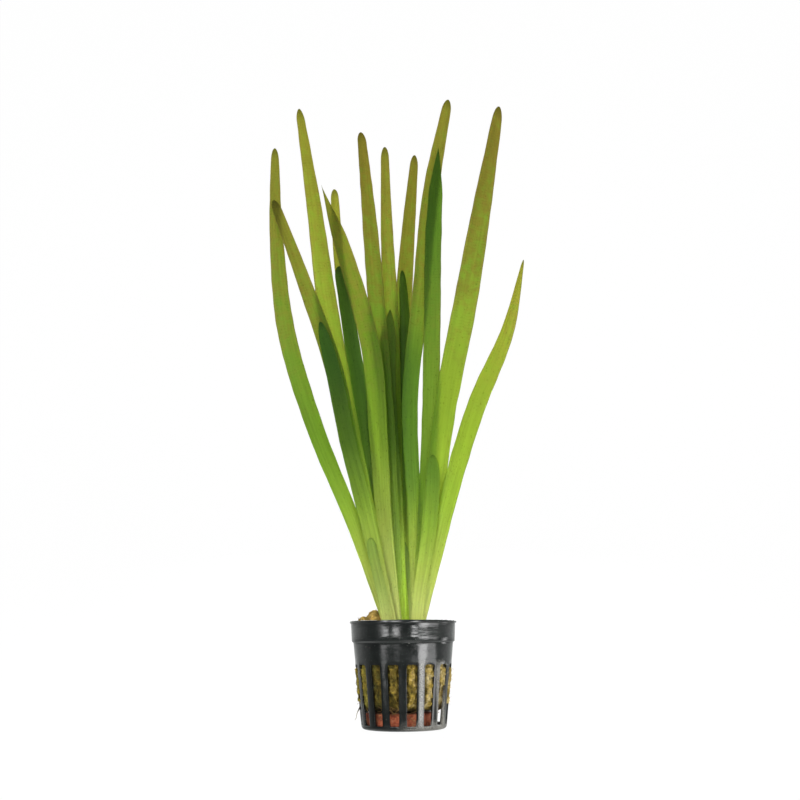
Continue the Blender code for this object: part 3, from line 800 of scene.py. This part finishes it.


# Leaves, in mm. "shape": top, then the place along X at six even steps of height, depth as foot, lean and
# bow, width, taper length, width share at the tip, tip length, pointedness, twist in degrees and where it
# starts. "tone": how much painted shade darkens the blade where other leaves shade it, between which two
# lengths from the foot that sets in, how brown-tipped, how yellow; "fades" is the length from which the
# painted shade goes again, "fresh" how green the foot is instead of pale, partly painted light lifting a foot
# that stands in shade, "pale" how many times farther than usual the pale foot reaches
leafRows = {
    "leaf_left_outermost": {
        "shape": (284, (-5.5, -22, -41.5, -56, -61.5, -63),
                  (-4.3, -2.5, -0.6), 8.8, 110, 0.43, 7, 0.5, 15, 0.4),
        "tone": (0, 0, 0, 0.25, 0.0),
    },
    "leaf_left_outer": {
        "shape": (255, (-5, -14.5, -24, -33, -47.5, -63), (-5.6, -3, -0.6), 8.9, 100, 0.5, 6, 0.5, 15, 0.4),
        "tone": (0, 0, 0, 0.35, 0.1),
    },
    "leaf_left_short_dark": {
        "shape": (191, (-4.5, -11.5, -18, -25.5, -31.5, -39),
                  (-6.9, -3.5, -0.7), 7.8, 35, 0.6, 12, 0.5, 8, 0.5),
        "tone": (1.0, 85, 135, 0.0, 0.0),
    },
    "leaf_left_tall": {
        "shape": (307, (-5, -16, -27, -36, -43, -51), (-3, -2.2, -0.5), 10.6, 130, 0.41, 7, 0.5, 30, 0.4),
        "tone": (0, 0, 0, 0.3, 0.65),
    },
    "leaf_left_pointed": {
        "shape": (271, (-2.5, -8, -11, -14.5, -26, -40.5),
                  (-1.7, 0.8, 0.2), 9.5, 80, 0.75, 34, 1.5, 30, 0.65),
        "tone": (0, 0, 0, 0.0, 0.1),
        "pale": 1.5,
    },
    "leaf_left_dark": {
        "shape": (226, (-3.5, -9, -15, -19.5, -25, -31), (-0.4, 1.1, 0.2), 8.4, 80, 0.66, 6, 0.5, -8, 0.5),
        "tone": (0.8, 50, 68, 0.0, 0.0),
        "pale": 1.4,
    },
    "leaf_left_slim": {
        "shape": (270, (-4, -10, -16.5, -23, -30.5, -34), (0.9, 1.4, 0.2), 6.4, 70, 0.66, 5, 0.5, -20, 0.3),
        "tone": (0, 0, 0, 0.1, 0.45),
        "pale": 1.4,
    },
    "leaf_left_inner": {
        "shape": (306, (-2, -4.5, -7.5, -11.5, -15.5, -20), (2.2, 2.3, 0.4), 8.7, 80, 0.55, 6, 0.5, 25, 0.4),
        "tone": (0.6, 10, 30, 0.9, 0.05),
        "fades": 45,
        "fresh": 1.0,
    },
    "leaf_left_young": {
        "shape": (86, (-6.5, -8, -9.5, -11.5, -13.5, -15), (-8.2, -4, 0), 4.9, 8, 0.8, 4, 0.5, 0, 0.5),
        "tone": (0.6, 0, 24, 0.0, 0.0),
    },
    "leaf_middle_left": {
        "shape": (300, (0, -2.5, -3.5, -4.5, -6.5, -7.5), (4.8, 3.3, 0.5), 8.0, 100, 0.55, 6, 0.5, -25, 0.4),
        "tone": (0, 0, 0, 0.55, 0.3),
        "fresh": 1.0,
    },
    "leaf_middle_right": {
        "shape": (298, (1.5, 0, -1, 1, 4.5, 9), (8.4, 4.2, 0.5), 8.8, 90, 0.47, 7, 0.5, 20, 0.4),
        "tone": (0, 0, 0, 0.65, 0.1),
        "fresh": 1.0,
    },
    "leaf_middle_dark_left": {
        "shape": (205, (-0.5, -2, -4, -6, -7, -5), (3.6, 3, 0.5), 9.1, 35, 0.78, 20, 0.9, 6, 0.5),
        "tone": (0.45, 30, 110, 0.0, 0.0),
        "fresh": 1.0,
    },
    "leaf_middle_dark_right": {
        "shape": (228, (2, 1, 0, 0, 2.5, 1.5), (6, 3.6, 0.5), 6.2, 45, 0.5, 8, 0.5, 0, 0.5),
        "tone": (0.75, 25, 80, 0.4, 0.0),
        "fresh": 1.0,
    },
    "leaf_middle_dark_back": {
        "shape": (198, (2.5, 2, 0.5, -1, 0.5, 2.5), (7.2, 3.9, 0.5), 4.8, 15, 0.88, 3, 0.5, 0, 0.5),
        "tone": (0.6, 30, 80, 0.1, 0.0),
        "fresh": 1.0,
    },
    "leaf_middle_young": {
        "shape": (85, (4, 4, 3.5, 3, 2.5, 1.5), (2.2, 1, 0), 2.4, 12, 0.4, 5, 0.5, 0, 0.5),
        "tone": (0.75, 0, 30, 0.0, 0.0),
    },
    "leaf_right_inner_tall": {
        "shape": (320, (6.5, 6, 4.5, 10.5, 16.5, 27), (-2.1, 0, 0.6), 8.4, 60, 0.52, 6, 0.5, 14, 0.4),
        "tone": (0.7, 45, 75, 0.5, 0.1),
        "fades": 125,
    },
    "leaf_right_inner_pointed": {
        "shape": (290, (6, 10.5, 14, 16, 17.5, 21), (-3.4, -0.6, 0.5), 8.4, 45, 0.78, 30, 1.0, 35, 0.7),
        "tone": (0.8, 100, 210, 0.0, 0.0),
        "pale": 0.65,
    },
    "leaf_right_broad": {
        "shape": (308, (6.5, 14, 21.5, 32.5, 42.5, 52.5),
                  (-4.7, -1.8, -0.2), 11.8, 100, 0.44, 8, 0.5, 28, 0.4),
        "tone": (0, 0, 0, 0.95, 0.6),
    },
    "leaf_right_outermost": {
        "shape": (222, (6.5, 15.5, 25, 37, 52.5, 61.5), (-6, -3.2, -0.8), 9.0, 65, 0.12, 4, 0.5, -30, 0.4),
        "tone": (0, 0, 0, 0.05, 0.65),
    },
    "leaf_right_short": {
        "shape": (125, (6, 7.5, 10.5, 13, 14.5, 15), (-7.4, -4, 0), 6.9, 15, 0.65, 6, 0.5, 0, 0.5),
        "tone": (0, 0, 0, 0.0, 0.4),
        "pale": 0.8,
    },
}
leaf = {
    "foot": 42.8,
    "footWidth": 5.0,
    "footMostShare": 0.85,
    "growShare": 0.55,
    "footThickness": 0.8,
    "tipThickness": 0.45,
    "spineSteps": 160,
    "around": 22,
    "along": 150,
    "tipCloseness": 1.5,  # how much closer the rings stand at the tip
    "cup": 0.1,
    "ripple": 0.5,
    "rippleLength": 22.0,
    "unevenEdge": 0.05,
}


def leafWidth(shape, share):
    top, _, _, width, taperLength, tipShare, tipLength, point = shape[:8]
    foot = min(leaf["footWidth"], leaf["footMostShare"] * width)
    grown = 1.0 - max(0.0, 1.0 - share / leaf["growShare"]) ** 1.5
    left = (top - leaf["foot"]) * (1.0 - share)
    taper = 1.0 - max(0.0, 1.0 - left / taperLength) ** 1.6
    cap = 1.0 - max(0.0, 1.0 - left / tipLength) ** 2
    return blend(foot, width, grown) * blend(tipShare, 1.0, taper) * max(cap, 0.0) ** point


def bladeTree(values):
    # A blade: a closed tube with an oval section, laid along the spine and pressed flat
    tree, add, given = newTree("leaf blade", values)
    spine = add("MeshToCurve", given["Geometry"])
    tube = add("MeshCylinder", given["Around"], given["Along"], {"Radius": 1.0, "Depth": 1.0})
    across, out, z = add("SeparateXYZ", add("InputPosition")).outputs
    left = add("Math SUBTRACT", 1.0, add("Math ADD", z, 0.5, use_clamp=True))
    share = add("Math SUBTRACT", 1.0, add("Math POWER", left, leaf["tipCloseness"]))
    shape = add("InputNamedAttribute", "bladeShape", data_type="FLOAT_VECTOR")
    sample = add("SampleCurve", spine, shape, share, data_type="FLOAT_VECTOR", use_all_curves=True)
    # the third value carries each blade's painted shade
    halfWidth, twist, paintedShade = add("SeparateXYZ", sample).outputs
    tangent = sample.outputs["Tangent"]
    sideways = (1.0, 0.0, 0.0)
    lean = add("VectorMath SCALE", tangent, add("VectorMath DOT_PRODUCT", tangent, sideways))
    level = add("VectorMath NORMALIZE", add("VectorMath SUBTRACT", sideways, lean))
    side = add("VectorRotate", level, {"Axis": tangent, "Angle": twist})
    face = add("VectorMath CROSS_PRODUCT", side, tangent)
    thickness = add("MapRange", share, {"To Min": given["Foot Thickness"], "To Max": given["Tip Thickness"]})
    halfThick = add("Math MULTIPLY", add("Math MINIMUM", thickness, halfWidth), 0.5)
    bowl = add("Math SUBTRACT", add("Math MULTIPLY", across, across), 0.3)
    cupped = add("Math MULTIPLY", add("Math MULTIPLY", given["Cup"], halfWidth), bowl)
    run = add("Math MULTIPLY", share, add("CurveLength", spine))
    waving = add("Math DIVIDE", run, given["Ripple Length"])
    wander = add("CombineXYZ", waving, add("Math MULTIPLY", across, 0.35), given["Seed"])
    waves = add("Math SUBTRACT", add("TexNoise", wander, 1.0, 1.0), 0.5)
    fromFoot = add("Math MINIMUM", add("Math MULTIPLY", share, 5.0), 1.0)
    ripple = add("Math MULTIPLY", add("Math MULTIPLY", waves, given["Ripple"]), fromFoot)
    forward = add("Math ADD", add("Math MULTIPLY_ADD", out, halfThick, cupped), ripple)
    place = sample.outputs["Position"]
    for way, distance in ((side, add("Math MULTIPLY", across, halfWidth)), (face, forward)):
        place = add("VectorMath ADD", place, add("VectorMath SCALE", way, distance))
    mesh = tube
    for name, value in (("Across", across), ("Share", share), ("Run", run), ("Dark", paintedShade),
                        ("FreshLit", given["FreshLit"]), ("Pale", given["Pale"]), ("Tint", given["Tint"])):
        kind = "FLOAT_VECTOR" if name == "Tint" else "FLOAT"
        mark = {"Name": "leaf" + name, "Value": value}
        mesh = add("StoreNamedAttribute", mesh, mark, data_type=kind)
    closeTree(add, add("SetShadeSmooth", add("SetPosition", mesh, {"Position": place})), given["Material"])
    return tree


def leafTissue():
    # Living water-plant leaf: thin and satin. Light from behind shines through it, so a leaf in front of
    # another looks much darker. Thick pale foot, green blade, olive to brown end, fine lengthwise veins.
    # Painted shade darkens the stretches that other leaves shade, and painted light lifts the middle feet
    material, add = newMaterial("ribbon leaf tissue")
    across, share, run, paintedShade, vividLit, pale = [
        add("Attribute", attribute_name="leaf" + name).outputs["Fac"]
        for name in ("Across", "Share", "Run", "Dark", "FreshLit", "Pale")]
    tones = add("Attribute", attribute_name="leafTint").outputs["Vector"]
    own, brown, yellow = add("SeparateXYZ", tones).outputs

    def cells(acrossScale, runScale, seed, detail):  # noise that follows the blade, across and per metre
        sideways = add("Math MULTIPLY", across, acrossScale)
        upward = add("Math MULTIPLY", run, runScale)
        place = add("CombineXYZ", sideways, upward, add("Math ADD", own, seed))
        return add("TexNoise", place, 1.0, detail)

    def layered(colour, *layers):  # colours laid over each other, each with its share
        for cover, tone in layers:
            colour = add("Mix", cover, colour, tone, data_type="RGBA")
        return colour

    blotch = cells(0.9, 140.0, 0.0, 2.0)  # soft patches about 7 mm long
    mottle = cells(2.2, 420.0, 5.0, 2.0)  # smaller ones of 2 to 3 mm
    streak = cells(5.0, 30.0, 11.0, 3.0)

    # What one blade looks like with white behind it: pale foot, fresh green, then olive, brown at some tips
    low = add("MapRange", add("Math DIVIDE", run, pale), 0.0, 0.15)
    fresh = add("ValToRGB", low)
    setStops(fresh, (0.0, "8b9b29"), (0.13, "849924"), (0.23, "7c9321"), (0.4, "6c8a1c"), (0.67, "66861c"),
             (1.0, "739028"))
    grownUp = add("MapRange", run, 0.09, 0.16)
    uneven = add("MapRange", blotch, 0.3, 0.7, -0.16, 0.16)
    uneven = add("Math ADD", uneven, add("MapRange", mottle, 0.3, 0.7, -0.12, 0.12))
    upper = add("Math ADD", share, uneven)
    olive = add("Math MULTIPLY", grownUp, add("MapRange", upper, 0.47, 0.92))
    olive = add("Math MULTIPLY", olive, add("Math SUBTRACT", 1.0, paintedShade))
    browned = add("Math MULTIPLY", brown, grownUp)
    browned = add("Math MULTIPLY", browned, add("MapRange", upper, 0.56, 1.02))
    ripe = add("Math MULTIPLY", add("MapRange", run, 0.03, 0.08), yellow)
    browning = add("Math MULTIPLY", brown, add("MapRange", share, 0.45, 0.8))
    ripe = add("Math MULTIPLY", ripe, add("Math SUBTRACT", 1.0, browning))
    # green foot of the middle leaves: partly their own fresh colour, partly painted light lifting feet that
    # stand in shade
    vividLit = add("Math MULTIPLY", vividLit, add("MapRange", run, 0.02, 0.055, 1.0, 0.0))
    # painted shade: darker green where other leaves shade the blade
    paintedShadeCover = add("Math MULTIPLY", paintedShade, 0.8)
    rim = add("MapRange", add("Math ABSOLUTE", across), 0.76, 1.0, 0.0, 0.6)
    rim = add("Math MULTIPLY", rim, add("MapRange", share, 0.3, 0.6))
    seen = layered(
        fresh, (vividLit, "9cc434"), (olive, "80862a"), (add("Math MULTIPLY", ripe, 0.7), "9a9c2a"),
        (browned, "786822"), (add("MapRange", blotch, 0.54, 0.7, 0.0, 0.22), "5f861e"),
        (add("Math MULTIPLY", add("MapRange", mottle, 0.5, 0.68, 0.0, 0.3), olive), "88762a"),
        (add("Math MULTIPLY", rim, grownUp), "927840"), (paintedShadeCover, "46721e"))

    # Veins along the blade, broken cross walls every 1.5 mm, small dark flecks and a dark end
    wander = add("Math MULTIPLY", add("Math SUBTRACT", cells(0.0, 40.0, 3.0, 1.0), 0.5), 1.6)
    wave = add("Math SINE", add("Math MULTIPLY_ADD", across, 9.4, wander))
    line = add("MapRange", add("Math ABSOLUTE", wave), 0.0, 0.4, 1.0, 0.0)
    vein = add("Math MULTIPLY", line, add("MapRange", cells(3.0, 25.0, 7.0, 1.0), 0.35, 0.65, 0.0, 0.13))
    crossing = add("Math ADD", add("Math MULTIPLY", run, 650.0), add("Math MULTIPLY", streak, 1.6))
    crossing = add("Math ABSOLUTE", add("Math SUBTRACT", add("Math FRACT", crossing), 0.5))
    broken = add("MapRange", cells(2.5, 90.0, 9.0, 1.0), 0.42, 0.62, 0.0, 0.32)
    wall = add("Math MULTIPLY", add("MapRange", crossing, 0.0, 0.14, 1.0, 0.0), broken)
    fleck = add("MapRange", cells(7.0, 700.0, 13.0, 1.0), 0.66, 0.74, 0.0, 0.45)
    marks = add("Math ADD", add("Math ADD", vein, add("Math MULTIPLY", wall, grownUp)), fleck)
    strength = add("MapRange", run, 0.05, 0.12, 0.24, 0.12)  # the streaks are plainest on the thick foot
    drawn = add("Math MULTIPLY_ADD", add("MapRange", streak, 0.3, 0.7, -1.0, 1.0), strength, 1.0)
    shade = add("Math MULTIPLY", add("Math SUBTRACT", 1.0, marks), drawn)
    shade = add("Math MULTIPLY", shade, add("MapRange", share, 0.975, 1.0, 1.0, 0.55))
    lift = add("Math MULTIPLY", add("Math MULTIPLY", ripe, add("Math SUBTRACT", 1.0, browned)), 0.55)
    shade = add("Math MULTIPLY", shade, add("Math ADD", lift, 1.0))
    seen = add("VectorMath SCALE", seen, shade)

    # Light crosses two faces of the closed blade, so each face passes the square root of it
    passed = add("VectorMath SCALE", add("Gamma", seen, 0.5), 0.93)
    back = add("ValToRGB", low)  # the light that it sends back
    setStops(back, (0.0, "b2bc66"), (0.23, "90a23e"), (0.4, "7a982a"), (0.6, "56781f"), (0.85, "4b6c1a"))
    sent = layered(back, (vividLit, "b8dc44"), (olive, "666424"), (paintedShadeCover, "38601e"))
    sent = add("VectorMath SCALE", sent, shade)
    height = add("Math SUBTRACT", streak, add("Math MULTIPLY", line, 0.4))
    bump = add("Bump", 0.35, 0.12 * mm, {"Height": height})
    skin = add("BsdfPrincipled", {
        "Base Color": sent, "Roughness": 0.5, "Normal": bump, "IOR": 1.34, "Specular IOR Level": 0.3})
    glow = add("BsdfTranslucent", passed, bump)
    thin = add("MapRange", run, 0.0, 0.09, 0.36, 0.72)
    add("OutputMaterial", add("MixShader", thin, skin, glow))
    return material


def leafSpine(number, row):  # places along the middle of the blade, with half width, twist and darkness
    shape = row["shape"]
    top, places, (foot, leanBack, bow) = shape[:3]
    twist, twistFrom = shape[8:]
    paintedShade, darkFrom, darkTo = row["tone"][:3]
    points = []
    shapes = []
    for step in range(leaf["spineSteps"] + 1):
        share = 1.0 - (1.0 - step / leaf["spineSteps"]) ** leaf["tipCloseness"]
        rise = (top - leaf["foot"]) * share
        depth = foot + leanBack * rise / 100 + bow * (rise / 100) ** 2
        points.append((through(places, share), depth, leaf["foot"] + rise))
        turn = math.radians(twist) * ease((share - twistFrom) / (1.0 - twistFrom))
        # painted shade over the stretch where other leaves shade this one, going again from "fades"
        paintedDarkness = paintedShade * ease((rise - darkFrom) / max(1, darkTo - darkFrom))
        paintedDarkness *= 1.0 - ease((rise - row.get("fades", 999)) / 30)
        uneven = 1.0 + leaf["unevenEdge"] * noise.noise(Vector((rise / 7.0, 3.1 * number, 0.0)))
        shapes += [max(0.03, uneven * leafWidth(shape, share) / 2) * mm, turn, paintedDarkness]
    return points, shapes


def buildLeaves():
    tree = None
    tissue = leafTissue()
    for number, (name, row) in enumerate(leafRows.items()):
        points, shapes = leafSpine(number, row)
        obj = newLine("blade" + name[4:], points)
        obj.data.attributes.new("bladeShape", "FLOAT_VECTOR", "POINT").data.foreach_set("vector", shapes)
        seed = 1.7 * number
        values = {
            "Around": leaf["around"], "Along": leaf["along"],
            "Foot Thickness": leaf["footThickness"] * mm, "Tip Thickness": leaf["tipThickness"] * mm,
            "Cup": leaf["cup"] * (1 if number % 3 else -1), "Ripple": leaf["ripple"] * mm,
            "Ripple Length": leaf["rippleLength"] * mm, "Seed": seed, "Tint": (seed, *row["tone"][3:]),
            "FreshLit": row.get("fresh", 0.0), "Pale": row.get("pale", 1.0), "Material": tissue}
        tree = tree or bladeTree(values)
        runTree(obj, tree, values)
        finishPiece(obj, [name])


buildLeaves()
print("leaves built")
